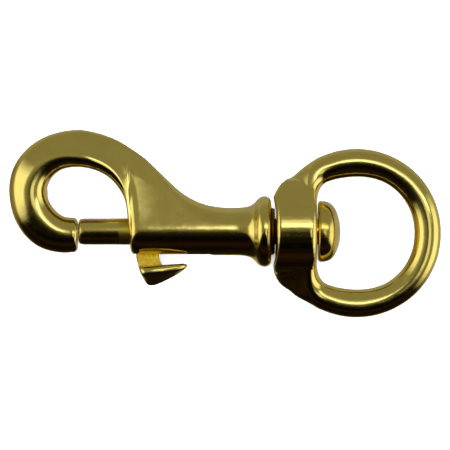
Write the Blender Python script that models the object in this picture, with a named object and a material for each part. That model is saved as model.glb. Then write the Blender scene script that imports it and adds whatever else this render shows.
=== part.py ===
"""Swivel-eye snap hook in cast brass: hook body, spring latch bolt, thumb trigger, swivel pin and eye.

Every piece is drawn about the barrel's axis, with X = 0 at the barrel's mouth and +X towards the eye.
The hook lies in the XY plane. The assembly empty then moves the whole snap so that the world origin is
in the middle of its footprint, on the surface that it lies on.
"""

import math

import bmesh
import bpy
from mathutils import Vector

MM = 0.001

# Driving dimensions, in metres.
EYE_HOLE_R = 12.7 * MM  # a 1 inch eye
EYE_WIRE_R = 2.95 * MM
EYE_CENTRE_X = 49.7 * MM
BARREL_R = 5.25 * MM
BARREL_END_X = 31.7 * MM
BORE_R = 3.0 * MM
BOLT_R = 2.9 * MM
BOLT_TIP_X = -11.3 * MM
BOLT_REAR_X = 8.8 * MM
BOLT_TRAVEL = 11.2 * MM
HUB_HALF_THICK = 9.0 * MM
HUB_HALF_HEIGHT = 9.6 * MM  # where the hub's oval would close
EYE_DROP = 0.35 * MM  # the ring's centre is this far under the axis
HUB_FRONT_X = 32.0 * MM
HUB_BACK_X = 40.9 * MM
HUB_CORNER_R = 1.2 * MM
HUB_BLEND = 7
HUB_EDGE_ANGLE = 145
PIN_R = 2.9 * MM
PIN_FRONT_X = 25.5 * MM
PIN_HEAD_THICK = 5.0 * MM
GAP = 0.3 * MM  # between pieces that touch
RUNNING = 0.1 * MM  # radial clearance of a piece that slides or turns
STEM_HALF_THICK = 1.3 * MM
STEM_FRONT_X = 1.2 * MM
STEM_BACK_X = 6.2 * MM
TENON_R = 1.2 * MM
TENON_X = 3.9 * MM
TENON_TOP_Y = 1.5 * MM
SPRING_WIRE_R = 0.3 * MM
SPRING_COIL_R = 2.4 * MM
SPRING_TURNS = 8

# Corner points of one half of the thumb pad, a keel that is widest just under its top: x, y and z in mm.
PAD_POINTS = [
    (2.0, -7.7, 2.0),
    (2.2, -8.1, 3.2),
    (2.6, -8.9, 3.8),
    (7.5, -7.3, 3.6),
    (7.5, -8.4, 4.0),
    (11.9, -7.0, 2.0),
    (12.4, -7.2, 1.2),
    (12.5, -7.6, 1.3),
    (12.1, -8.1, 1.6),
    (3.2, -10.6, 2.6),
    (3.9, -11.7, 1.2),
    (4.6, -11.9, 0.8),
    (5.6, -11.75, 0.9),
    (9.4, -10.0, 0.9),
    (2.9, -10.4, 1.0),
]

RING_POINTS = 28  # points round each section of the castings
TURNED_POINTS = 40  # points round each turned piece

# Half the outline of the hook body from the nose round to the mouth. Each station is a line across the
# stock: inner point (x, y), outer point (x, y), then corner radius and half thickness at each end, in mm.
HOOK_STATIONS = [
    ((-11.60, 2.00), (-11.60, -3.50), (2.75, 2.75), (2.75, 2.75)),
    ((-11.75, 2.55), (-11.75, -4.05), (3.30, 3.30), (3.30, 3.30)),
    ((-12.20, 2.95), (-12.20, -4.45), (3.70, 3.70), (3.70, 3.70)),
    ((-13.00, 3.10), (-13.00, -4.60), (3.85, 3.85), (3.85, 3.85)),
    ((-14.20, 3.20), (-15.00, -4.70), (3.85, 3.92), (3.90, 3.88)),
    ((-15.50, 3.80), (-18.40, -4.10), (3.90, 4.00), (3.95, 3.90)),
    ((-17.00, 5.20), (-22.40, -1.80), (3.95, 4.08), (4.20, 3.90)),
    ((-18.05, 7.00), (-25.50, 2.60), (3.95, 4.15), (4.25, 3.90)),
    ((-18.40, 9.00), (-26.80, 8.60), (3.80, 4.20), (4.25, 3.80)),
    ((-17.90, 10.90), (-26.00, 13.70), (3.50, 4.22), (3.95, 3.50)),
    ((-16.60, 12.70), (-23.10, 18.00), (3.10, 4.25), (3.50, 3.05)),
    ((-14.50, 13.85), (-18.40, 21.10), (2.60, 4.30), (2.95, 2.60)),
    ((-12.00, 14.20), (-12.90, 22.40), (2.15, 4.35), (2.50, 2.30)),
    ((-9.00, 13.85), (-8.80, 22.10), (2.00, 4.38), (2.15, 2.05)),
    ((-6.20, 12.80), (-5.60, 21.20), (1.90, 4.30), (1.65, 1.60)),
    ((-4.00, 11.20), (-3.20, 20.20), (1.90, 4.20), (1.20, 1.15)),
    ((-2.40, 9.20), (-1.70, 19.40), (1.90, 4.08), (0.85, 0.80)),
    ((-1.40, 7.30), (-0.90, 18.90), (1.90, 3.96), (0.70, 0.68)),
    ((-0.90, 5.40), (-0.45, 18.60), (1.90, 3.90), (0.66, 0.66)),
]
# The web that joins the hook to the barrel: x and the outline's height over the axis, in mm.
WEB_STATIONS = [
    (0.0, 18.30),
    (0.25, 18.15),
    (0.85, 17.75),
    (2.0, 16.95),
    (3.6, 15.70),
    (5.9, 13.50),
    (8.6, 10.90),
    (11.2, 8.60),
    (13.5, 7.15),
    (16.0, 6.10),
    (18.5, 5.50),
    (21.0, 5.25),
]
FLANK_LEAN = 0.26  # sine of the web's two flat flanks to the XY plane
MOUTH_LIP = [4.40, 4.95, 5.25]  # the barrel's radius at the first web stations, in mm
# Where the throat's edge meets the web: height, corner radius and half thickness, and the x where it has faded.
WEB_ROOT = (7.3, 1.9, 3.90)
WEB_ROOT_END_X = 4.0
# The collar's turned profile after the barrel: x and radius, in mm.
COLLAR_FLARE = [(23.8, 5.25), (25.7, 5.5), (27.1, 6.35), (28.2, 7.35), (29.2, 7.8), (30.3, 7.6), (30.85, 6.9)]
SPIGOT = [(30.9, 5.15), (31.4, 5.15), (31.7, 4.85)]
# The eye seen from its centre: angle in degrees from +X, inner radius and outer radius, in mm.
EYE_STATIONS = [
    (118.0, 12.70, 18.60),
    (124.0, 12.95, 18.60),
    (129.0, 12.75, 18.60),
    (134.0, 12.15, 18.65),
    (139.5, 11.45, 18.95),
    (144.5, 10.81, 19.85),
    (150.0, 10.16, 20.30),
    (156.0, 9.63, 20.05),
    (161.0, 9.31, 19.05),
    (166.5, 9.05, 18.15),
    (173.0, 8.87, 17.45),
    (180.0, 8.80, 17.20),
]


def start_scene():
    """Empties the scene and returns the collections for the parts and for the cutters."""
    for obj in list(bpy.data.objects):
        bpy.data.objects.remove(obj)
    parts = bpy.data.collections.new("swivel_snap_hook")
    cutters = bpy.data.collections.new("cutters")
    for collection in (parts, cutters):
        bpy.context.scene.collection.children.link(collection)
    return parts, cutters


def make_material(name, colour, roughness):
    """A metal with one colour and one roughness."""
    material = bpy.data.materials.new(name)
    material.use_nodes = True
    shader = material.node_tree.nodes["Principled BSDF"]
    shader.inputs["Base Color"].default_value = (*colour, 1.0)
    shader.inputs["Metallic"].default_value = 1.0
    shader.inputs["Roughness"].default_value = roughness
    return material


def add_object(name, bm, collection, parent, material=None):
    """Turns a bmesh into a named, smooth-shaded object on the assembly's empty."""
    bmesh.ops.recalc_face_normals(bm, faces=bm.faces)
    mesh = bpy.data.meshes.new(name)
    bm.to_mesh(mesh)
    bm.free()
    mesh.shade_smooth()
    mesh.set_sharp_from_angle(angle=math.radians(35))
    obj = bpy.data.objects.new(name, mesh)
    obj.parent = parent
    if material:
        mesh.materials.append(material)
    collection.objects.link(obj)
    return obj


def cut_with(obj, cutter):
    """Cuts obj with a helper that isn't shown."""
    cutter.hide_render = True
    cutter.display_type = "WIRE"
    modifier = obj.modifiers.new(cutter.name, "BOOLEAN")
    modifier.operation = "DIFFERENCE"
    modifier.solver = "EXACT"
    modifier.object = cutter


def smooth_between(rows, steps):
    """Catmull-Rom points through rows of numbers, with this many steps from each row to the next."""
    found = []
    for i in range(len(rows) - 1):
        before, start = rows[max(i - 1, 0)], rows[i]
        end, after = rows[i + 1], rows[min(i + 2, len(rows) - 1)]
        for step in range(steps):
            t = step / steps
            found.append(
                [
                    0.5 * (2 * b + (c - a) * t + (2 * a - 5 * b + 4 * c - d) * t**2 + (3 * b - a - 3 * c + d) * t**3)
                    for a, b, c, d in zip(before, start, end, after)
                ]
            )
    found.append(list(rows[-1]))
    return found


def section_outline(lobes, count):
    """A closed section, round its middle line: the tight band round pairs of circles.

    A lobe is (distance along the line, corner radius, half thickness), and is an oval where its radius
    is more than its half thickness. The points are spread by length and by turn together, so flats and
    corners both get their share.
    """
    steps = 240
    band = []
    for step in range(steps + 1):
        angle = math.pi * step / steps
        along, up = math.cos(angle), math.sin(angle)
        reaches = []
        for centre, radius, half in lobes:
            rise = min(radius, half)
            spread = math.hypot(radius * along, rise * up)
            point = (centre + radius**2 * along / spread, half - rise + rise**2 * up / spread)
            reaches.append((point[0] * along + point[1] * up, point))
        band.append((*max(reaches)[1], angle))
    band.insert(0, (band[0][0], 0.0, 0.0))
    band.append((band[-1][0], 0.0, math.pi))
    lengths = [math.dist(a[:2], b[:2]) for a, b in zip(band, band[1:])]
    total = sum(lengths)
    measure = [0.0]
    for length, (a, b) in zip(lengths, zip(band, band[1:])):
        measure.append(measure[-1] + 0.5 * length / total + 0.5 * (b[2] - a[2]) / math.pi)
    half_count = count // 2
    upper = []
    spot = 0
    for index in range(half_count + 1):
        want = measure[-1] * index / half_count
        while spot < len(measure) - 2 and measure[spot + 1] < want:
            spot += 1
        span = measure[spot + 1] - measure[spot]
        t = 0.0 if span < 1e-12 else min(max((want - measure[spot]) / span, 0.0), 1.0)
        a, b = band[spot], band[spot + 1]
        upper.append((a[0] + (b[0] - a[0]) * t, a[1] + (b[1] - a[1]) * t))
    lower = [(along, -up) for along, up in reversed(upper[1:-1])]
    return upper + lower


def skin(sections, closed):
    """A bmesh grid bent over equal sections, each a list of points. An open row of sections gets end caps."""
    rows = sections + [sections[0]] if closed else sections
    across = len(rows[0])
    bm = bmesh.new()
    bmesh.ops.create_grid(bm, x_segments=across, y_segments=len(rows) - 1, size=1.0)
    for vert in bm.verts:
        column = round((vert.co.x + 1) / 2 * across) % across
        row = round((vert.co.y + 1) / 2 * (len(rows) - 1))
        vert.co = rows[row][column]
    bmesh.ops.remove_doubles(bm, verts=bm.verts, dist=1e-7)
    if not closed:
        bmesh.ops.holes_fill(bm, edges=[edge for edge in bm.edges if edge.is_boundary])
    return bm


def placed_section(start, direction, lobes, count):
    """A section's points in space, from its start in the XY plane and along a unit direction."""
    return [
        Vector((start[0] + direction[0] * along, start[1] + direction[1] * along, up)) * MM
        for along, up in section_outline(lobes, count)
    ]


def hook_sections(steps, count):
    """The hook from its nose to the throat's edge at the barrel."""
    found = []
    rows = [[*inner, *outer, *inner_edge, *outer_edge] for inner, outer, inner_edge, outer_edge in HOOK_STATIONS]
    for ix, iy, ox, oy, inner_r, inner_t, outer_r, outer_t in smooth_between(rows, steps):
        width = math.hypot(ox - ix, oy - iy)
        direction = ((ox - ix) / width, (oy - iy) / width)
        lobes = [(inner_r, inner_r, inner_t), (width - outer_r, outer_r, outer_t)]
        found.append(placed_section((ix, iy), direction, lobes, count))
    return found


def barrel_sections(steps, count):
    """The web and the barrel behind the mouth, then the collar and the spigot that the eye turns on."""
    full_r = BARREL_R / MM
    rows = [[x, top, MOUTH_LIP[min(i, len(MOUTH_LIP) - 1)]] for i, (x, top) in enumerate(WEB_STATIONS)]
    root_y, root_r, root_t = WEB_ROOT
    found = []
    for x, top, barrel_r in smooth_between(rows, steps):
        edge_r = (full_r - FLANK_LEAN * top) / (1 - FLANK_LEAN)
        lobes = [(0.0, barrel_r, barrel_r), (top - edge_r, edge_r, edge_r)]
        if x < WEB_ROOT_END_X:
            faded_t = (full_r - FLANK_LEAN * root_y) / math.sqrt(1 - FLANK_LEAN**2) - 0.1
            lobes.append((root_y, root_r, root_t + (faded_t - root_t) * x / WEB_ROOT_END_X))
        found.append(placed_section((x, 0.0), (0.0, 1.0), lobes, count))
    for x, radius in smooth_between(COLLAR_FLARE, steps) + SPIGOT:
        found.append(placed_section((x, 0.0), (0.0, 1.0), [(0.0, radius, radius)], count))
    return found


def turned(profile, count):
    """A solid turned about the X axis from a profile of (x, radius), which starts and ends on the axis."""
    bm = bmesh.new()
    verts = [bm.verts.new((x, radius, 0.0)) for x, radius in profile]
    edges = [bm.edges.new(pair) for pair in zip(verts, verts[1:])]
    bmesh.ops.spin(
        bm,
        geom=verts + edges,
        cent=(0, 0, 0),
        axis=(1, 0, 0),
        angle=math.tau,
        steps=count,
        use_merge=True,
        use_duplicate=False,
    )
    bmesh.ops.remove_doubles(bm, verts=bm.verts, dist=1e-6)
    return bm


def rod(start_x, end_x, radius, count):
    """A plain round bar along the X axis."""
    return turned([(start_x, 0.0), (start_x, radius), (end_x, radius), (end_x, 0.0)], count)


def prism(outline, half_thick):
    """A flat piece with this outline in XY, in metres, and the same thickness either side of it."""
    bm = bmesh.new()
    face = bm.faces.new([bm.verts.new((x, y, -half_thick)) for x, y in outline])
    raised = bmesh.ops.extrude_face_region(bm, geom=[face])
    verts = [item for item in raised["geom"] if isinstance(item, bmesh.types.BMVert)]
    bmesh.ops.translate(bm, verts=verts, vec=(0, 0, 2 * half_thick))
    return bm


def build_hook_body(parts, cutters, frame, material):
    """The casting: nose, hook, web, barrel, collar and spigot, bored right through and slotted underneath."""
    sections = hook_sections(2, RING_POINTS) + barrel_sections(2, RING_POINTS)
    body = add_object("hook_body", skin(sections, closed=False), parts, frame, material)
    bore = rod(-5 * MM, BARREL_END_X + 2 * MM, BORE_R, TURNED_POINTS)
    cut_with(body, add_object("bore_cutter", bore, cutters, frame))
    slot_start = STEM_FRONT_X - GAP
    slot_end = STEM_BACK_X + BOLT_TRAVEL + GAP
    slot_half = STEM_HALF_THICK + 0.2 * MM
    below = -BARREL_R - 2 * MM
    slot = prism([(slot_start, below), (slot_end, below), (slot_end, 0.0), (slot_start, 0.0)], slot_half)
    cut_with(body, add_object("slot_cutter", slot, cutters, frame))
    return body


def build_latch_bolt(parts, cutters, frame, material):
    """The round bolt that closes the throat, with a cross hole for the trigger's tenon."""
    tip, rear = BOLT_TIP_X, BOLT_REAR_X
    profile = [
        (tip, 0.0),
        (tip, BOLT_R - 0.9 * MM),
        (tip + 0.15 * MM, BOLT_R - 0.4 * MM),
        (tip + 0.5 * MM, BOLT_R - 0.1 * MM),
        (tip + 1.0 * MM, BOLT_R),
        (rear - 0.3 * MM, BOLT_R),
        (rear, BOLT_R - 0.3 * MM),
        (rear, 0.0),
    ]
    bolt = add_object("latch_bolt", turned(profile, TURNED_POINTS), parts, frame, material)
    hole = bmesh.new()
    bottom, top = -BOLT_R - 1 * MM, TENON_TOP_Y + GAP
    radius = TENON_R + RUNNING
    bmesh.ops.create_cone(
        hole, cap_ends=True, segments=24, radius1=radius, radius2=radius, depth=top - bottom
    )
    turn_to_y(hole)
    bmesh.ops.translate(hole, verts=hole.verts, vec=(TENON_X, (top + bottom) / 2, 0))
    cut_with(bolt, add_object("tenon_hole_cutter", hole, cutters, frame))
    return bolt


def turn_to_y(bm):
    """Lays a shape that stands along Z along Y."""
    for vert in bm.verts:
        vert.co = Vector((vert.co.x, -vert.co.z, vert.co.y))


def build_thumb_trigger(parts, frame, material):
    """The cast thumb piece: a keel-shaped pad on a flat stem, with a round tenon up into the bolt."""
    stem_top = -BOLT_R - RUNNING
    stem = prism(
        [
            (STEM_FRONT_X, stem_top),
            (STEM_FRONT_X + 0.1 * MM, -5.3 * MM),
            (2.3 * MM, -8.6 * MM),
            (7.6 * MM, -8.6 * MM),
            (6.7 * MM, -7.1 * MM),
            (STEM_BACK_X, -5.7 * MM),
            (STEM_BACK_X, stem_top),
        ],
        STEM_HALF_THICK,
    )
    trigger = add_object("thumb_trigger", stem, parts, frame, material)
    pad = bmesh.new()
    for x, y, z in PAD_POINTS:
        for side in (-1, 1):
            pad.verts.new(Vector((x, y, side * z)) * MM)
    hull = bmesh.ops.convex_hull(pad, input=pad.verts)
    loose = [item for item in hull["geom_interior"] if isinstance(item, bmesh.types.BMVert)]
    bmesh.ops.delete(pad, geom=loose, context="VERTS")
    join_with(trigger, pad)
    tenon = bmesh.new()
    bottom = stem_top - 1 * MM
    bmesh.ops.create_cone(
        tenon, cap_ends=True, segments=24, radius1=TENON_R, radius2=TENON_R, depth=TENON_TOP_Y - bottom
    )
    turn_to_y(tenon)
    bmesh.ops.translate(tenon, verts=tenon.verts, vec=(TENON_X, (TENON_TOP_Y + bottom) / 2, 0))
    join_with(trigger, tenon)
    return trigger


def join_with(obj, bm):
    """Joins a shape to obj with a Boolean union, as one body."""
    helper = add_object(f"{obj.name}_addition", bm, bpy.data.collections["cutters"], obj.parent)
    helper.hide_render = True
    helper.display_type = "WIRE"
    modifier = obj.modifiers.new(helper.name, "BOOLEAN")
    modifier.operation = "UNION"
    modifier.solver = "EXACT"
    modifier.object = helper


def build_bolt_spring(parts, frame, material):
    """A compression spring of round wire between the bolt and the swivel pin, with its end turns closed up."""
    start = BOLT_REAR_X + GAP + SPRING_WIRE_R
    end = PIN_FRONT_X - GAP - SPRING_WIRE_R
    points_per_turn = 14
    count = SPRING_TURNS * points_per_turn
    curve = bpy.data.curves.new("bolt_spring", "CURVE")
    curve.dimensions = "3D"
    curve.bevel_depth = SPRING_WIRE_R
    curve.bevel_resolution = 2
    curve.use_fill_caps = True
    spline = curve.splines.new("POLY")
    spline.points.add(count)
    closed_turns = 1.0
    pitch_free = (end - start - 2 * closed_turns * 2.2 * SPRING_WIRE_R) / (SPRING_TURNS - 2 * closed_turns)
    for index in range(count + 1):
        turn = index / points_per_turn
        x = start + 2.2 * SPRING_WIRE_R * min(turn, closed_turns)
        x += pitch_free * min(max(turn - closed_turns, 0), SPRING_TURNS - 2 * closed_turns)
        x += 2.2 * SPRING_WIRE_R * max(turn - (SPRING_TURNS - closed_turns), 0)
        angle = math.tau * turn
        spline.points[index].co = (x, SPRING_COIL_R * math.cos(angle), SPRING_COIL_R * math.sin(angle), 1)
    curve.materials.append(material)
    spring = bpy.data.objects.new("bolt_spring", curve)
    spring.parent = frame
    parts.objects.link(spring)
    return spring


def build_swivel_pin(parts, frame, material):
    """The turned pin that holds the eye: shank up the barrel's bore, mushroom head inside the eye."""
    under = HUB_BACK_X + GAP
    head = [(0.0, 6.3), (0.35, 6.7), (1.1, 6.75), (2.2, 6.5), (3.2, 5.95), (3.9, 4.75), (4.5, 3.3), (4.95, 1.6)]
    profile = [(PIN_FRONT_X, 0.0), (PIN_FRONT_X, PIN_R - 0.3 * MM), (PIN_FRONT_X + 0.3 * MM, PIN_R), (under, PIN_R)]
    profile += [(under + x * MM, radius * MM) for x, radius in head]
    profile.append((under + PIN_HEAD_THICK, 0.0))
    return add_object("swivel_pin", turned(profile, TURNED_POINTS), parts, frame, material)


def build_swivel_eye(parts, cutters, frame, material):
    """The eye: a ring of round stock that swells into an oval hub, bored for the pin and dished for the spigot."""
    centre_x = EYE_CENTRE_X / MM
    wire = EYE_WIRE_R / MM
    corner = HUB_CORNER_R / MM
    half_thick, half_height = HUB_HALF_THICK / MM, HUB_HALF_HEIGHT / MM
    first_angle = EYE_STATIONS[0][0]
    ring_steps = 14
    half = [(first_angle * i / ring_steps, *EYE_STATIONS[0][1:]) for i in range(ring_steps)]
    half += smooth_between(EYE_STATIONS, 2)
    loop = half + [(360 - angle, inner, outer) for angle, inner, outer in reversed(half[1:-1])]

    def hub_thickness(y):
        """The oval of the hub run softly into the round stock of the ring."""
        inside = max(1 - (y / half_height) ** 2, 0)
        return (wire**HUB_BLEND + (half_thick * math.sqrt(inside)) ** HUB_BLEND) ** (1 / HUB_BLEND)

    sections = []
    for angle, inner, outer in loop:
        turn = math.radians(angle)
        direction = (math.cos(turn), math.sin(turn))
        from_far_side = 180 - abs(angle - 180)
        into_hub = min(max((from_far_side - first_angle) / (HUB_EDGE_ANGLE - first_angle), 0), 1)
        inner_t, outer_t = wire, wire
        if from_far_side > first_angle:
            inner_t, outer_t = (hub_thickness(radius * direction[1]) for radius in (inner, outer))
        edge_r = wire + (corner - wire) * into_hub
        lobes = [(inner + edge_r, edge_r, max(inner_t, edge_r)), (outer - edge_r, edge_r, max(outer_t, edge_r))]
        sections.append(placed_section((centre_x, -EYE_DROP / MM), direction, lobes, RING_POINTS))
    eye = add_object("swivel_eye", skin(sections, closed=True), parts, frame, material)
    bore = rod(HUB_FRONT_X - 3 * MM, HUB_BACK_X + 2 * MM, PIN_R + RUNNING, TURNED_POINTS)
    cut_with(eye, add_object("eye_bore_cutter", bore, cutters, frame))
    dish = rod(HUB_FRONT_X - 3 * MM, HUB_FRONT_X, BARREL_R + 0.35 * MM, TURNED_POINTS)
    cut_with(eye, add_object("eye_dish_cutter", dish, cutters, frame))
    return eye


def main():
    parts, cutters = start_scene()
    left_x, right_x = -26.8 * MM, EYE_CENTRE_X + EYE_HOLE_R + 2 * EYE_WIRE_R
    top_y, bottom_y = 22.4 * MM, -EYE_DROP - EYE_HOLE_R - 2 * EYE_WIRE_R
    frame = bpy.data.objects.new("assembly", None)
    frame.location = (-(left_x + right_x) / 2, -(top_y + bottom_y) / 2, HUB_HALF_THICK)
    parts.objects.link(frame)
    polished = make_material("polished_brass", (0.72, 0.56, 0.18), 0.12)
    cast = make_material("cast_brass", (0.70, 0.50, 0.14), 0.4)
    spring_steel = make_material("spring_wire", (0.62, 0.58, 0.5), 0.25)
    build_hook_body(parts, cutters, frame, polished)
    build_latch_bolt(parts, cutters, frame, polished)
    build_thumb_trigger(parts, frame, cast)
    build_bolt_spring(parts, frame, spring_steel)
    build_swivel_pin(parts, frame, polished)
    build_swivel_eye(parts, cutters, frame, polished)


main()
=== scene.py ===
"""Finished look of a cast brass snap hook with a swivel eye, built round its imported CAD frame.

Pieces are drawn in millimetres about the barrel's axis, with X = 0 at the barrel's mouth and +X towards
the eye, and put in the frame's place at the end. Run it as a script.
"""

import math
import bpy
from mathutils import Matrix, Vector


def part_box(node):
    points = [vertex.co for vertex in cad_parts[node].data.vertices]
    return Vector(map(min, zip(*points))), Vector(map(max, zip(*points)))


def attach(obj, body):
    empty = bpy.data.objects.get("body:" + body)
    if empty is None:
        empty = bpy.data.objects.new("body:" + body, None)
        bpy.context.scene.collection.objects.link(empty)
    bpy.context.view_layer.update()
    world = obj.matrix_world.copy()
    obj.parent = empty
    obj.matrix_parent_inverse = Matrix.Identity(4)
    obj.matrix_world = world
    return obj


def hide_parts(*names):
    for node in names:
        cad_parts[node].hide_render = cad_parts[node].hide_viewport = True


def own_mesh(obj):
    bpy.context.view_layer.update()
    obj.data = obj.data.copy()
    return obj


bl_info = {
    "name": "Swivel Snap Hook",
    "version": (1, 0, 0),
    "blender": (4, 5, 0),
    "location": "View3D > Sidebar > Snap Hook",
    "description": "Builds a cast brass snap hook with a spring bolt and a swivel eye",
    "category": "Add Mesh",
}

import bmesh
import bpy
import numpy as np
from mathutils import Matrix, Vector

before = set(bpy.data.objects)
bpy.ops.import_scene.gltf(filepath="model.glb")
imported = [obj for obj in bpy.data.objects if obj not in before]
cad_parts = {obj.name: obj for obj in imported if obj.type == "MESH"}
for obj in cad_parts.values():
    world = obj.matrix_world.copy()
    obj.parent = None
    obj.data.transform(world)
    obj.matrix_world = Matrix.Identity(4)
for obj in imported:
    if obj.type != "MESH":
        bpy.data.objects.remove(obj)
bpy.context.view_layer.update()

MM = 0.001
# Places along the barrel's axis from its mouth, in mm.
BARREL_LENGTH = 31.7
COLLAR_END = 30.8
BOLT_TIP = -11.48
BOLT_REAR = 8.8
TENON_X = 3.9
PIN_FRONT = 25.5
HUB_FRONT = 31.38
HUB_REAR = 40.88
EYE_CENTRE = (49.7, -0.35)

hook_low, hook_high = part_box("hook_body")
pin_low, pin_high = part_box("swivel_pin")
MOUTH = Vector(
    (
        hook_high[0] - BARREL_LENGTH * MM,
        (pin_low[1] + pin_high[1]) / 2,
        (pin_low[2] + pin_high[2]) / 2,
    )
)

# Lines across the hook's stock from the nose to the throat's edge at the barrel, in mm: inner point,
# outer point, then the corner radius and half thickness at each end.
HOOK_STATIONS = [
    ((-13.00, 3.10), (-13.00, -4.60), (3.85, 3.85), (3.85, 3.85)),
    ((-14.20, 3.20), (-15.00, -4.70), (3.85, 3.92), (3.90, 3.88)),
    ((-15.50, 3.80), (-18.40, -4.10), (3.90, 4.00), (3.95, 3.90)),
    ((-17.00, 5.20), (-22.38, -1.80), (3.95, 4.08), (4.20, 3.90)),
    ((-18.05, 7.00), (-25.46, 2.60), (3.95, 4.15), (4.25, 3.90)),
    ((-18.40, 9.00), (-26.76, 8.60), (3.80, 4.20), (4.25, 3.80)),
    ((-17.90, 10.90), (-25.96, 13.66), (3.50, 4.22), (3.95, 3.50)),
    ((-16.60, 12.70), (-23.08, 17.96), (3.10, 4.25), (3.50, 3.05)),
    ((-14.50, 13.85), (-18.40, 21.04), (2.60, 4.30), (2.95, 2.60)),
    ((-12.00, 14.20), (-12.90, 22.33), (2.15, 4.35), (2.50, 2.30)),
    ((-9.00, 13.85), (-8.80, 22.05), (2.00, 4.38), (2.15, 2.05)),
    ((-6.20, 12.80), (-5.60, 21.18), (1.90, 4.02), (1.65, 1.50)),
    ((-4.00, 11.20), (-3.20, 20.20), (1.90, 3.68), (1.20, 1.05)),
    ((-2.40, 9.20), (-1.70, 19.40), (1.90, 3.46), (0.85, 0.74)),
    ((-1.40, 7.30), (-0.90, 18.90), (1.90, 3.35), (0.62, 0.60)),
    ((-0.90, 5.40), (-0.45, 18.60), (1.90, 3.30), (0.55, 0.55)),
]
# The web's outline: x and height over the axis, in mm.
WEB_STATIONS = [
    (0.0, 18.30),
    (0.85, 17.75),
    (2.0, 16.95),
    (3.6, 15.70),
    (5.9, 13.50),
    (8.6, 10.90),
    (11.2, 8.60),
    (13.5, 7.15),
    (16.0, 6.10),
    (18.5, 5.50),
    (21.0, 5.25),
]
FLANK_LEAN = 0.295  # sine of the web's flat flanks to the hook's own plane
# The collar: x and radius, in mm.
COLLAR_PROFILE = [
    (21.6, 5.25),
    (23.8, 5.27),
    (25.0, 5.38),
    (26.2, 5.68),
    (27.1, 6.26),
    (27.9, 7.12),
    (28.6, 7.64),
    (29.3, 7.78),
    (30.0, 7.72),
    (30.5, 7.42),
    (COLLAR_END, 6.95),
]
SPIGOT_PROFILE = [(30.9, 6.4), (30.9, 5.6), (30.98, 5.2), (31.2, 5.12), (31.45, 5.1), (31.65, 4.95)]
SPIGOT_PROFILE.append((BARREL_LENGTH, 4.7))
NOSE_RADIUS = 3.85
NOSE_AXIS_Y = -0.75  # the nose's stock is centred this far towards the trigger

STRONGEST = 2.4  # the brightest light round the hook; the lights below are given on the same scale
# Light by lean from straight up: degrees towards the hook's back (+) or the trigger (-), red, green, blue.
BACK_LIGHT = [
    (-180, 0.50, 0.46, 0.34),
    (-157, 0.34, 0.30, 0.20),
    (-146, 0.02, 0.015, 0.01),
    (-90, 0.003, 0.002, 0.002),
    (-66, 0.018, 0.009, 0.006),
    (-47, 0.006, 0.003, 0.002),
    (-35, 0.001, 0.001, 0.001),
    (-17, 0.007, 0.006, 0.005),
    (-3, 0.025, 0.024, 0.02),
    (2, 0.08, 0.08, 0.08),
    (9, 0.24, 0.24, 0.26),
    (20, 0.30, 0.30, 0.32),
    (57, 0.27, 0.27, 0.30),
    (94, 0.28, 0.28, 0.32),
    (110, 0.36, 0.36, 0.42),
    (180, 0.36, 0.36, 0.42),
]
END_TURN = math.radians(-6)  # the end lights stand a little to the trigger's side at the eye
# The same by lean towards the eye (+) and the hook's end (-).
END_LIGHT = [
    (-180, 0.30, 0.28, 0.20),
    (-120, 0.22, 0.18, 0.12),
    (-92, 0.35, 0.33, 0.28),
    (-80, 1.3, 1.35, 1.9),
    (-44, 1.3, 1.35, 1.9),
    (-30, 0.32, 0.31, 0.30),
    (-10, 0.16, 0.16, 0.16),
    (5, 0.12, 0.12, 0.12),
    (10, 1.0, 1.05, 1.5),
    (25, 1.0, 1.05, 1.5),
    (31, 0.27, 0.26, 0.26),
    (50, 0.27, 0.26, 0.26),
    (58, 1.3, 1.35, 1.9),
    (94, 1.3, 1.35, 1.9),
    (106, 0.45, 0.45, 0.5),
    (180, 0.45, 0.45, 0.5),
]
# The card's light by lean towards the hook's back, in degrees, as a share of the strongest.
CARD_LIGHT = [(6, 0), (9.5, 0.25), (12.5, 0.85), (19, 0.85), (23.5, 0.34), (29, 0.13), (34, 0)]


# ---- shapes


def spline_through(rows, spacing):
    """Points on a natural cubic spline through rows of numbers, about this far apart in the first two."""
    rows = np.array(rows, float)
    steps = np.linalg.norm(np.diff(rows[:, :2], axis=0), axis=1)
    knots = np.concatenate([[0], np.cumsum(steps)])
    count = len(knots)
    system = np.eye(count)
    right = np.zeros_like(rows)
    for i in range(1, count - 1):
        before, after = knots[i] - knots[i - 1], knots[i + 1] - knots[i]
        system[i, i - 1 : i + 2] = before, 2 * (before + after), after
        right[i] = 6 * ((rows[i + 1] - rows[i]) / after - (rows[i] - rows[i - 1]) / before)
    bend = np.linalg.solve(system, right)
    places = np.linspace(0, knots[-1], max(2, round(knots[-1] / spacing) + 1))
    found = []
    for place in places:
        i = min(max(np.searchsorted(knots, place) - 1, 0), count - 2)
        width = knots[i + 1] - knots[i]
        a, b = (knots[i + 1] - place) / width, (place - knots[i]) / width
        curve = ((a**3 - a) * bend[i] + (b**3 - b) * bend[i + 1]) * width**2 / 6
        found.append(a * rows[i] + b * rows[i + 1] + curve)
    return found


def eased(share):
    """A share from 0 to 1 that starts and ends gently."""
    return share * share * (3 - 2 * share)


def quarter(steps):
    """Angles from 0 to a quarter turn."""
    return [math.pi / 2 * step / steps for step in range(steps + 1)]


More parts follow.
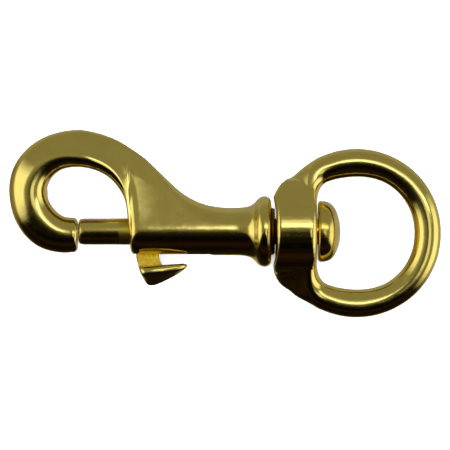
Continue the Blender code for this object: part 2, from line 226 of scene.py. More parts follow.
def section_outline(lobes, count):
    """The outline of a section: a tight band round lobes that are set along its middle line.

    A lobe is (distance along the line, corner radius, half thickness). Points are shared by length
    and by turn.
    """
    steps = 360
    band = []
    for step in range(steps + 1):
        angle = math.pi * step / steps
        along, up = math.cos(angle), math.sin(angle)
        reaches = []
        for centre, radius, half in lobes:
            rise = min(radius, half)
            spread = math.hypot(radius * along, rise * up)
            point = (centre + radius**2 * along / spread, half - rise + rise**2 * up / spread)
            reaches.append((point[0] * along + point[1] * up, point))
        band.append((*max(reaches)[1], angle))
    band.insert(0, (band[0][0], 0.0, 0.0))
    band.append((band[-1][0], 0.0, math.pi))
    band = np.array(band)
    lengths = np.linalg.norm(np.diff(band[:, :2], axis=0), axis=1)
    by_length, by_turn = lengths / lengths.sum(), np.diff(band[:, 2]) / math.pi
    share = np.concatenate([[0], np.cumsum(0.5 * by_length + 0.5 * by_turn)])
    share += np.linspace(0, 1e-9, len(share))
    wanted = np.linspace(0, share[-1], count // 2 + 1)
    along = np.interp(wanted, share, band[:, 0])
    up = np.interp(wanted, share, band[:, 1])
    upper = list(zip(along, up))
    return upper + [(a, -u) for a, u in reversed(upper[1:-1])]


def placed_section(start, direction, lobes, count):
    """A section's points, from its start in the hook's plane and along a unit direction."""
    return [
        Vector((start[0] + direction[0] * along, start[1] + direction[1] * along, up))
        for along, up in section_outline(lobes, count)
    ]


def loft(sections, closed=False):
    """A skin made by extruding a ring of edges from each section to the next."""
    bm = bmesh.new()
    ring = bmesh.ops.create_circle(bm, segments=len(sections[0]), radius=1)["verts"]
    start = ring
    for vert, place in zip(ring, sections[0]):
        vert.co = place
    for section in sections[1:] + ([sections[0]] if closed else []):
        edges = [bm.edges.get(pair) for pair in zip(ring, ring[1:] + ring[:1])]
        made = bmesh.ops.extrude_edge_only(bm, edges=edges)["geom"]
        fresh = {item for item in made if isinstance(item, bmesh.types.BMVert)}
        ring = [next(e.other_vert(v) for e in v.link_edges if e.other_vert(v) in fresh) for v in ring]
        for vert, place in zip(ring, section):
            vert.co = place
    if closed:
        bmesh.ops.remove_doubles(bm, verts=start + ring, dist=1e-5)
    else:
        bmesh.ops.holes_fill(bm, edges=[edge for edge in bm.edges if edge.is_boundary])
    bmesh.ops.recalc_face_normals(bm, faces=bm.faces)
    return bm


def turned(profile, count):
    """A solid spun about the barrel's axis from (x, radius) points that start and end on the axis."""
    bm = bmesh.new()
    verts = [bm.verts.new((x, radius, 0)) for x, radius in profile]
    edges = [bm.edges.new(pair) for pair in zip(verts, verts[1:])]
    bmesh.ops.spin(
        bm,
        geom=verts + edges,
        cent=(0, 0, 0),
        axis=(1, 0, 0),
        angle=math.tau,
        steps=count,
        use_merge=True,
        use_duplicate=False,
    )
    bmesh.ops.remove_doubles(bm, verts=bm.verts, dist=1e-4)
    bmesh.ops.recalc_face_normals(bm, faces=bm.faces)
    return bm


def rounded(profile, radius, steps=6):
    """The profile with its corners rounded to this radius, or to what the shorter side allows."""
    found = [profile[0]]
    for before, corner, after in zip(profile, profile[1:], profile[2:]):
        corner_v = Vector(corner)
        to_before, to_after = Vector(before) - corner_v, Vector(after) - corner_v
        if min(to_before.length, to_after.length) < 1e-6:
            continue
        cut = min(radius, to_before.length * 0.45, to_after.length * 0.45)
        start = corner_v + to_before.normalized() * cut
        end = corner_v + to_after.normalized() * cut
        for step in range(steps + 1):
            t = step / steps
            found.append(tuple(start * (1 - t) ** 2 + corner_v * 2 * t * (1 - t) + end * t**2))
    found.append(profile[-1])
    return found


def cross_pin(radius, top, length):
    """A round pin across the bolt, from this height over its axis down towards the thumb."""
    bm = bmesh.new()
    bmesh.ops.create_cone(bm, cap_ends=True, segments=48, radius1=radius, radius2=radius, depth=length)
    upright = Matrix.Rotation(math.pi / 2, 3, "X")
    bmesh.ops.rotate(bm, verts=bm.verts, cent=(0, 0, 0), matrix=upright)
    bmesh.ops.translate(bm, verts=bm.verts, vec=(TENON_X, top - length / 2, 0))
    return bm


def prism(outline, low, high):
    """A flat piece with this outline in the hook's plane, from one height to another."""
    bm = bmesh.new()
    face = bm.faces.new([bm.verts.new((x, y, low)) for x, y in outline])
    raised = bmesh.ops.extrude_face_region(bm, geom=[face])
    verts = [item for item in raised["geom"] if isinstance(item, bmesh.types.BMVert)]
    bmesh.ops.translate(bm, verts=verts, vec=(0, 0, high - low))
    bmesh.ops.recalc_face_normals(bm, faces=bm.faces)
    return bm


# ---- objects


def make_object(name, bm, materials=()):
    """Puts a shape drawn in millimetres in its place in the frame, as an object."""
    bm.transform(Matrix.Translation(MOUTH) @ Matrix.Scale(MM, 4))
    mesh = bpy.data.meshes.new(name)
    bm.to_mesh(mesh)
    bm.free()
    for material in materials:
        mesh.materials.append(material)
    obj = bpy.data.objects.new(name, mesh)
    bpy.context.scene.collection.objects.link(obj)
    return obj


def apply_modifiers(obj):
    """Turns the object's modifiers into mesh."""
    bpy.context.view_layer.update()
    graph = bpy.context.evaluated_depsgraph_get()
    mesh = bpy.data.meshes.new_from_object(obj.evaluated_get(graph))
    old = obj.data
    obj.modifiers.clear()
    obj.data = mesh
    name = old.name
    bpy.data.meshes.remove(old)
    mesh.name = name


def combine(obj, bm, operation):
    """Joins a shape to the object or cuts it away, and leaves one mesh."""
    helper = make_object(f"{obj.name}_helper", bm)
    modifier = obj.modifiers.new("combine", "BOOLEAN")
    modifier.operation = operation
    modifier.solver = "EXACT"
    modifier.object = helper
    apply_modifiers(obj)
    bpy.data.objects.remove(helper)


def soften(obj, voxel, passes, strength=0.5):
    """Rounds all of the edges a little, as casting and polishing do."""
    remesh = obj.modifiers.new("cast", "REMESH")
    remesh.mode = "VOXEL"
    remesh.voxel_size = voxel * MM
    remesh.use_smooth_shade = True
    smooth = obj.modifiers.new("polish", "SMOOTH")
    smooth.iterations = passes
    smooth.factor = strength
    apply_modifiers(obj)


def finish_piece(obj, body, node, sharp_angle=40):
    """Shades the piece, ties it to its body, and hides its CAD node."""
    obj.data.shade_smooth()
    obj.data.set_sharp_from_angle(angle=math.radians(sharp_angle))
    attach(obj, body)
    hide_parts(node)


# ---- materials


def node_of(tree, kind, place, **values):
    """A shader node of this kind, with its inputs or properties set by name."""
    node = tree.nodes.new(f"ShaderNode{kind}")
    node.location = place
    for key, value in values.items():
        if hasattr(node, key):
            setattr(node, key, value)
        else:
            node.inputs[key.replace("_", " ")].default_value = value
    return node


def linker(tree):
    """A function that links one node's output to another node's input."""

    def link(start, output, end, entry):
        tree.links.new(start.outputs[output], end.inputs[entry])

    return link


def brass(
    name,
    light,
    deep,
    roughness,
    mottle=0.1,
    wave=0.1,
    wave_size=260.0,
    grain=0.06,
    grain_size=5200.0,
    zone=None,
    cloud_size=160.0,
):
    """Procedural brass: clouds of two tones, uneven polish, and two sizes of surface relief.

    A zone is (axis, start, end, colour, roughness): the metal changes from start to end, in mm, and
    stays so past the end.
    """
    material = bpy.data.materials.new(name)
    material.use_nodes = True
    tree = material.node_tree
    shader = tree.nodes["Principled BSDF"]
    shader.inputs["Metallic"].default_value = 1.0
    link = linker(tree)
    coords = node_of(tree, "TexCoord", (-1400, 0))
    clouds = node_of(tree, "TexNoise", (-1100, 300), Scale=cloud_size, Detail=5.0, Roughness=0.6)
    tones = node_of(tree, "Mix", (-500, 300), data_type="RGBA")
    tones.inputs["A"].default_value = (*light, 1)
    tones.inputs["B"].default_value = (*deep, 1)
    spread = node_of(tree, "MapRange", (-800, 300), From_Min=0.35, From_Max=0.72)
    link(coords, "Object", clouds, "Vector")
    link(clouds, "Fac", spread, "Value")
    link(spread, "Result", tones, "Factor")
    colour = tones.outputs["Result"]
    patches = node_of(tree, "TexNoise", (-1100, 0), Scale=420.0, Detail=6.0, Roughness=0.65)
    polish = node_of(tree, "MapRange", (-800, 0), From_Min=0.3, From_Max=0.75)
    polish.inputs["To Min"].default_value = roughness
    polish.inputs["To Max"].default_value = roughness + mottle
    link(coords, "Object", patches, "Vector")
    link(patches, "Fac", polish, "Value")
    shine = polish.outputs["Result"]
    if zone:
        axis, start, end, zone_colour, zone_roughness = zone
        places = node_of(tree, "SeparateXYZ", (-1100, 600))
        origin = MOUTH["XYZ".index(axis)]
        span = {"From_Min": origin + start * MM, "From_Max": origin + end * MM}
        reach = node_of(tree, "MapRange", (-800, 600), **span)
        link(coords, "Object", places, "Vector")
        link(places, axis, reach, "Value")
        # The zone's colour: the as-cast tone on the bolt; on the hook body, a dark colour painted on the
        # collar's rear face and spigot as shade in the joint.
        wear_and_painted_shade = node_of(tree, "Mix", (-300, 500), data_type="RGBA")
        link(reach, "Result", wear_and_painted_shade, "Factor")
        tree.links.new(colour, wear_and_painted_shade.inputs["A"])
        wear_and_painted_shade.inputs["B"].default_value = (*zone_colour, 1)
        colour = wear_and_painted_shade.outputs["Result"]
        dull = node_of(tree, "Mix", (-300, 150), data_type="FLOAT")
        link(reach, "Result", dull, "Factor")
        tree.links.new(shine, dull.inputs["A"])
        dull.inputs["B"].default_value = zone_roughness
        shine = dull.outputs["Result"]
    tree.links.new(colour, shader.inputs["Base Color"])
    tree.links.new(shine, shader.inputs["Roughness"])
    swell = node_of(tree, "TexNoise", (-1100, -300), Scale=wave_size, Detail=2.0)
    swell_bump = node_of(tree, "Bump", (-500, -300), Strength=wave, Distance=0.0004)
    grains = node_of(tree, "TexNoise", (-1100, -600), Scale=grain_size, Detail=4.0, Roughness=0.7)
    grain_bump = node_of(tree, "Bump", (-250, -450), Strength=grain, Distance=0.0001)
    link(coords, "Object", swell, "Vector")
    link(coords, "Object", grains, "Vector")
    link(swell, "Fac", swell_bump, "Height")
    link(grains, "Fac", grain_bump, "Height")
    link(swell_bump, "Normal", grain_bump, "Normal")
    link(grain_bump, "Normal", shader, "Normal")
    return material


# ---- settings


def length(name, description, default, least):
    """A setting for a length in mm."""
    return bpy.props.FloatProperty(name=name, description=description, default=default, min=least)


def points(name, description, default, least, most):
    """A setting for how finely a piece is divided."""
    return bpy.props.IntProperty(
        name=name, description=description, default=default, min=least, max=most
    )


def tone(name, description, default):
    """A setting for a metal's colour."""
    return bpy.props.FloatVectorProperty(
        name=name, description=description, subtype="COLOR", default=default
    )


class SnapHookSizes(bpy.types.PropertyGroup):
    """Sizes that a maker would change."""

    ring_points: points("Section points", "Points round each section of the castings", 80, 16, 160)
    turned_points: points("Turned points", "Points round each turned piece", 96, 24, 256)
    section_gap: length("Section gap", "Distance between the castings' sections, in mm", 0.45, 0.1)
    bore_radius: length("Bore radius", "Radius of the barrel's bore, in mm", 3.0, 1.0)
    bolt_radius: length("Bolt radius", "Radius of the latch bolt, in mm", 2.9, 1.0)
    eye_hole_radius: length("Eye hole radius", "Inner radius of the eye, in mm", 12.7, 5.0)
    eye_wire_radius: length("Eye stock radius", "Radius of the eye's round stock, in mm", 2.95, 1.0)


class SnapHookColours(bpy.types.PropertyGroup):
    """Colours and polish of the metals."""

    polished: tone("Polished brass", "Main tone of the polished castings", (0.83, 0.66, 0.135))
    polished_deep: tone("Deep brass", "Darker tone that clouds the castings", (0.76, 0.59, 0.10))
    as_cast: tone("As-cast brass", "Tone of the unpolished metal", (0.66, 0.48, 0.05))
    cast_skin: tone("Trigger skin", "Tone of the trigger's rough stem", (0.42, 0.29, 0.012))
    as_cast_deep: tone("As-cast shade", "Tone in the pits of the rough stem", (0.2, 0.12, 0.006))
    # Painted shade: the dark colour given to the collar's rear face and spigot, standing in for the shade
    # in the joint between collar and hub.
    painted_joint_shade: tone("PaintedJointShade", "Tone of the metal down in the swivel's joint", (0.16, 0.08, 0.015))
    wire: tone("Spring wire", "Tone of the spring", (0.55, 0.52, 0.46))
    polish: bpy.props.FloatProperty(
        name="Polish", description="Roughness of the castings", subtype="FACTOR", default=0.07, min=0, max=1
    )


# ---- pieces


class SNAPHOOK_OT_hook_body(bpy.types.Operator):
    """Build the casting with the nose, hook, web, barrel and collar"""

    bl_idname = "snaphook.hook_body"
    bl_label = "Hook Body"

    def execute(self, context):
        sizes, colours = context.scene.snap_hook_sizes, context.scene.snap_hook_colours
        count = sizes.ring_points
        gap = sizes.section_gap
        sections = self.nose(count) + self.hook(count, gap) + self.barrel(count, gap)
        material = brass(
            "polished_brass", colours.polished, colours.polished_deep, colours.polish,
            mottle=0.09, wave=0.12,
            # From the collar's rear face back, the casting is painted dark and made rougher: painted shade
            # in the joint between collar and hub.
            zone=("X", COLLAR_END - 0.1, COLLAR_END + 0.15, tuple(colours.painted_joint_shade), 0.4),
        )
        body = make_object("hook_body_casting", loft(sections), [material])
        combine(body, self.bore_cutter(sizes), "DIFFERENCE")
        combine(body, self.slot_cutter(), "DIFFERENCE")
        finish_piece(body, "body", "hook_body")
        return {"FINISHED"}

    def nose(self, count):
        """The flat end of the nose with its rounded rim."""
        face_x, hook_x, rim = -11.6, HOOK_STATIONS[0][0][0], 1.1
        flat = NOSE_RADIUS - rim
        found = [(face_x, flat * share) for share in (0.55, 0.8116, 1.0)]
        for turn in quarter(8)[1:]:
            found.append((face_x - rim * (1 - math.cos(turn)), flat + rim * math.sin(turn)))
        found.append(((face_x - rim + hook_x) / 2, NOSE_RADIUS))
        return [placed_section((x, NOSE_AXIS_Y + r), (0, -1), [(r, r, r)], count) for x, r in found]

    def hook(self, count, gap):
        """The hook's sweep from behind the nose to the barrel."""
        belly_length = 4.0
        rows = [[number for pair in station for number in pair] for station in HOOK_STATIONS]
        found = []
        for ix, iy, ox, oy, inner_r, inner_t, outer_r, outer_t in spline_through(rows, gap):
            width = math.hypot(ox - ix, oy - iy)
            direction = ((ox - ix) / width, (oy - iy) / width)
            lobes = [(inner_r, inner_r, inner_t), (width - outer_r, outer_r, outer_t)]
            if ix > -belly_length:
                share = 1 + ix / belly_length
                lobes.append(self.belly((inner_r, inner_t), (width - outer_r, outer_t), share))
            found.append(placed_section((ix, iy), direction, lobes, count))
        return found

    def barrel(self, count, gap):
        """The web that runs down to the barrel, the collar and the spigot."""
        full_r, lip, lip_drop = 5.25, 1.9, 1.1
        thin_edge, round_edge = 0.55, 3
        root_y, root_r, root_t, root_end = 7.3, 1.9, 3.28, 7.0  # the stout root beside the throat
        flank_t = (full_r - FLANK_LEAN * root_y) / math.sqrt(1 - FLANK_LEAN**2) - 0.1
        found = []
        for x, top in spline_through(WEB_STATIONS, gap * 0.75):
            into_lip = max(0.0, 1 - x / lip)
            barrel_r = full_r - lip_drop * (1 - math.sqrt(1 - into_lip**2))
            edge_r = (full_r - FLANK_LEAN * top) / (1 - FLANK_LEAN)
            if edge_r < round_edge:
                edge_r = (max(edge_r, 0) ** 4 + thin_edge**4) ** 0.25
            lobes = [(0.0, barrel_r, barrel_r), (top - edge_r, edge_r, edge_r)]
            if x < root_end:
                share = eased(x / root_end)
                root_now = root_t + (flank_t - root_t) * share
                lobes.append((root_y, root_r, root_now))
                lobes.append(self.belly((root_y, root_now), (top - edge_r, edge_r), 1 - share))
            found.append(placed_section((x, 0.0), (0.0, 1.0), lobes, count))
        for x, radius in spline_through(COLLAR_PROFILE, gap * 0.6) + rounded(SPIGOT_PROFILE, 0.2):
            found.append(placed_section((x, 0.0), (0.0, 1.0), [(0.0, radius, radius)], count))
        return found

    def belly(self, low, high, share):
        """A lobe half-way up the web that lets the hook's stout arm run out into it."""
        radius, least, most = 0.8, 0.08, 0.5
        middle, half = (low[0] + high[0]) / 2, (low[1] + high[1]) / 2
        return (middle, radius, half + least + (most - least) * eased(max(0.0, min(1.0, share))))

    def bore_cutter(self, sizes):
        """The bore, flared where it meets the mouth's slanting face."""
        r, flare, front, rear = sizes.bore_radius, 0.35, -4.0, BARREL_LENGTH + 2
        mouth_lean, mouth_end = 0.09, 2
        profile = [(front, 0.0), (front, r + flare * 4), (-flare, r + flare * 1.6)]
        profile += [(0.0, r + flare * 0.45), (flare, r)]
        profile += [(BARREL_LENGTH - 0.3, r), (BARREL_LENGTH, r + 0.25), (rear, r + 1.0), (rear, 0.0)]
        bm = turned(rounded(profile, 0.3, 4), sizes.turned_points)
        for vert in bm.verts:
            if vert.co.x < mouth_end:
                vert.co.x -= mouth_lean * (vert.co.y + r)
        return bm

    def slot_cutter(self):
        """The trigger's slot, with eased edges."""
        start_x, end_x, half, depth = 0.9, 17.7, 1.5, 4.75
        bm = bmesh.new()
        bmesh.ops.create_cube(bm, size=1)
        bmesh.ops.scale(bm, verts=bm.verts, vec=(end_x - start_x, depth, 2 * half))
        bmesh.ops.translate(bm, verts=bm.verts, vec=((start_x + end_x) / 2, -depth / 2, 0))
        corners = [e for e in bm.edges if abs((e.verts[0].co - e.verts[1].co).y) > 1]
        bmesh.ops.bevel(
            bm, geom=corners, offset=0.5, segments=6, profile=0.5, affect="EDGES", material=-1
        )
        for reach, grow in ((-5.0, 0.1), (-5.25, 0.4), (-7.0, 0.9)):  # down past the barrel, wider
            lowest = min(v.co.y for v in bm.verts)
            face = next(f for f in bm.faces if all(abs(v.co.y - lowest) < 1e-4 for v in f.verts))
            made = bmesh.ops.extrude_discrete_faces(bm, faces=[face])["faces"][0]
            middle = made.calc_center_median()
            for vert in made.verts:
                out = vert.co - middle
                vert.co.x += math.copysign(grow / 2, out.x)
                vert.co.z += math.copysign(grow / 2, out.z)
                vert.co.y = reach
        bmesh.ops.recalc_face_normals(bm, faces=bm.faces)
        return bm


class SNAPHOOK_OT_latch_bolt(bpy.types.Operator):
    """Build the round bolt that closes the hook"""

    bl_idname = "snaphook.latch_bolt"
    bl_label = "Latch Bolt"

    def execute(self, context):
        sizes, colours = context.scene.snap_hook_sizes, context.scene.snap_hook_colours
        r, tip, rear, rear_ease = sizes.bolt_radius, BOLT_TIP, BOLT_REAR, 0.3
        rubbed_start, rubbed_end = -2.9, -2.2
        profile = [(tip, 0.0), (tip, r - 0.75), (tip + 0.28, r - 0.22), (tip + 1.1, r)]
        profile += [(rear - rear_ease, r), (rear, r - rear_ease), (rear, 0)]
        profile = rounded(profile, 0.45)
        material = brass(
            "bolt_brass", colours.polished, colours.polished_deep, 0.1,
            wave=0.05, wave_size=300.0, grain=0.1, grain_size=6000.0,
            zone=("X", rubbed_start, rubbed_end, tuple(colours.as_cast), 0.36),
        )
        bolt = make_object("latch_bolt_rod", turned(profile, sizes.turned_points), [material])
        combine(bolt, cross_pin(radius=1.3, top=1.8, length=6), "DIFFERENCE")
        finish_piece(bolt, "bolt", "latch_bolt", 50)
        return {"FINISHED"}


class SNAPHOOK_OT_thumb_trigger(bpy.types.Operator):
    """Build the cast thumb piece with its stem and tenon"""

    bl_idname = "snaphook.thumb_trigger"
    bl_label = "Thumb Trigger"

    def execute(self, context):
        colours = context.scene.snap_hook_colours
        polished = brass(
            "trigger_polished", colours.polished, colours.polished_deep, 0.1, wave_size=420.0
        )
        rough = brass(
            "trigger_cast_skin", colours.cast_skin, colours.as_cast_deep, 0.38,
            mottle=0.25, wave=0.5, wave_size=1500.0, grain=1.0, grain_size=3000.0, cloud_size=2200.0,
        )
        rough.node_tree.nodes["Principled BSDF"].inputs["Metallic"].default_value = 0.5
        trigger = make_object("thumb_trigger_casting", self.stem(), [polished, rough])
        combine(trigger, self.pad(), "UNION")
        combine(trigger, cross_pin(radius=1.2, top=1.5, length=5.5), "UNION")
        soften(trigger, 0.09, 4)
        self.leave_rough(trigger, polished, rough)
        finish_piece(trigger, "bolt", "thumb_trigger", 60)
        return {"FINISHED"}

    def stem(self):
        """The flat stem from the slot down to the pad, with its lower front edges rounded."""
        half_thick, front_x, pad_top = 1.3, 1.75, -7
        outline = [
            (1.2, -3.0),
            (1.2, -5.5),
            (1.7, -7.8),
            (2.4, -8.7),
            (8.3, -8.3),
            (7.3, -7.75),
            (6.75, -7.1),
            (6.3, -5.8),
            (6.2, -3.0),
        ]
        bm = prism(outline, -half_thick, half_thick)
        front = [
            edge
            for edge in bm.edges
            if abs((edge.verts[0].co - edge.verts[1].co).z) < 0.1
            and max(vert.co.x for vert in edge.verts) < front_x
            and min(vert.co.y for vert in edge.verts) < pad_top
        ]
        bmesh.ops.bevel(bm, geom=front, offset=0.75, segments=5, profile=0.5, affect="EDGES", material=-1)
        return bm

    def leave_rough(self, trigger, polished, rough):
        """The stem keeps its cast skin; the pad and the stem's worn front are polished."""
        stem_half, stem_low, stem_rear = 1.42, -8.05, 7.6
        worn_top, worn_x, worn_lean = -5.4, 1.35, 0.33
        trigger.data.materials.clear()
        for material in (polished, rough):
            trigger.data.materials.append(material)
        for face in trigger.data.polygons:
            place = (face.center - MOUTH) / MM
            on_stem = abs(place.z) < stem_half and place.y > stem_low and place.x < stem_rear
            wear_and_painted_shade = place.y < worn_top and place.x < worn_x - worn_lean * (place.y + 5.5)
            face.material_index = 1 if on_stem and not wear_and_painted_shade else 0

    def pad(self):
        """The thumb pad: a keel with a rounded shoulder, widest just under its top."""
        # x, top, bottom, half width, then the radius of the shoulder and of the keel.
        stations = [
            (1.82, -7.68, -8.15, 2.0, 0.24, 0.22),
            (2.0, -7.7, -8.8, 2.7, 0.5, 0.45),
            (2.35, -7.7, -9.6, 3.3, 0.85, 0.7),
            (2.9, -7.65, -10.65, 3.7, 1.2, 0.85),
            (3.55, -7.6, -11.55, 3.85, 1.3, 0.9),
            (4.4, -7.55, -11.9, 3.9, 1.3, 0.95),
            (5.5, -7.47, -11.75, 3.85, 1.2, 0.95),
            (7.3, -7.35, -11.0, 3.6, 1.1, 0.9),
            (9.3, -7.2, -10.0, 3.0, 0.95, 0.85),
            (11.0, -7.08, -9.0, 2.3, 0.75, 0.7),
            (11.9, -7.06, -8.35, 1.7, 0.55, 0.5),
            (12.35, -7.25, -7.85, 1.1, 0.28, 0.26),
            (12.46, -7.4, -7.65, 0.7, 0.12, 0.12),
        ]
        sections = []
        for x, top, bottom, half, shoulder, keel in spline_through(stations, 0.22):
            depth = top - bottom
            shoulder, keel = min(shoulder, depth * 0.49), min(keel, depth * 0.49)
            lobes = [(shoulder, shoulder, half), (depth - keel, keel, keel)]
            sections.append(
                [Vector((x, top - along, up)) for along, up in section_outline(lobes, 64)]
            )
        return loft(sections)


class SNAPHOOK_OT_bolt_spring(bpy.types.Operator):
    """Build the compression spring between the bolt and the swivel pin"""

    bl_idname = "snaphook.bolt_spring"
    bl_label = "Bolt Spring"

    def execute(self, context):
        wire_r, coil_r, turns, seat_gap = 0.3, 2.4, 8, 0.3
        start_x, end_x = BOLT_REAR + seat_gap, PIN_FRONT - seat_gap
        bm = bmesh.new()
        ring = bmesh.ops.create_circle(bm, segments=16, radius=wire_r, cap_ends=True)["verts"]
        for axis in "YZX":
            quarter_turn = Matrix.Rotation(math.pi / 2, 3, axis)
            bmesh.ops.rotate(bm, verts=ring, cent=(0, 0, 0), matrix=quarter_turn)
        bmesh.ops.translate(bm, verts=ring, vec=(start_x + wire_r, coil_r, 0))
        closed = 2.2 * wire_r
        free = (end_x - start_x - 2 * wire_r - 2 * closed) / (turns - 2)
        geom = list(bm.faces) + list(bm.edges) + list(bm.verts)
        for count, pitch in ((1, closed), (turns - 2, free), (1, closed)):
            steps = 36 * count
            made = bmesh.ops.spin(
                bm,
                geom=geom,
                cent=(0, 0, 0),
                axis=(1, 0, 0),
                dvec=(pitch * count / steps, 0, 0),
                angle=math.tau * count,
                steps=steps,
                use_merge=False,
                use_duplicate=False,
            )
            geom = made["geom_last"]
        bmesh.ops.remove_doubles(bm, verts=bm.verts, dist=1e-5)
        bmesh.ops.recalc_face_normals(bm, faces=bm.faces)
        colours = context.scene.snap_hook_colours
        material = brass(
            "spring_wire", colours.wire, colours.wire, 0.25, wave=0.0, grain=0.1, grain_size=8000.0
        )
        spring = make_object("bolt_spring_coil", bm, [material])
        finish_piece(spring, "body", "bolt_spring")
        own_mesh(spring)
        return {"FINISHED"}


class SNAPHOOK_OT_swivel_pin(bpy.types.Operator):
    """Build the mushroom-headed pin that holds the eye"""

    bl_idname = "snaphook.swivel_pin"
    bl_label = "Swivel Pin"

    def execute(self, context):
        sizes, colours = context.scene.snap_hook_sizes, context.scene.snap_hook_colours
        shank_r, ease, under = 2.9, 0.3, HUB_REAR + 0.32
        dome = [(1.3, 6.72), (2.1, 6.52), (2.9, 6.1), (3.6, 5.35), (4.15, 4.3), (4.6, 3.0)]
        dome += [(4.87, 1.5), (4.95, 0.0)]
        profile = [(PIN_FRONT, 0.0), (PIN_FRONT, shank_r - ease)]
        profile += [(PIN_FRONT + ease, shank_r), (under, shank_r)]
        rim = [(under, shank_r), (under, 6.35), (under + 0.4, 6.7), (under + 1.3, 6.72)]
        profile += rounded(rim, 0.25)
        profile += [(under + x, r) for x, r in spline_through(dome, 0.25)[1:]]
        profile[-1] = (profile[-1][0], 0.0)
        material = brass(
            "pin_brass", colours.polished, colours.as_cast, 0.1, mottle=0.12, wave_size=380.0
        )
        pin = make_object("swivel_pin_turned", turned(profile, sizes.turned_points), [material])
        finish_piece(pin, "body", "swivel_pin", 50)
        return {"FINISHED"}


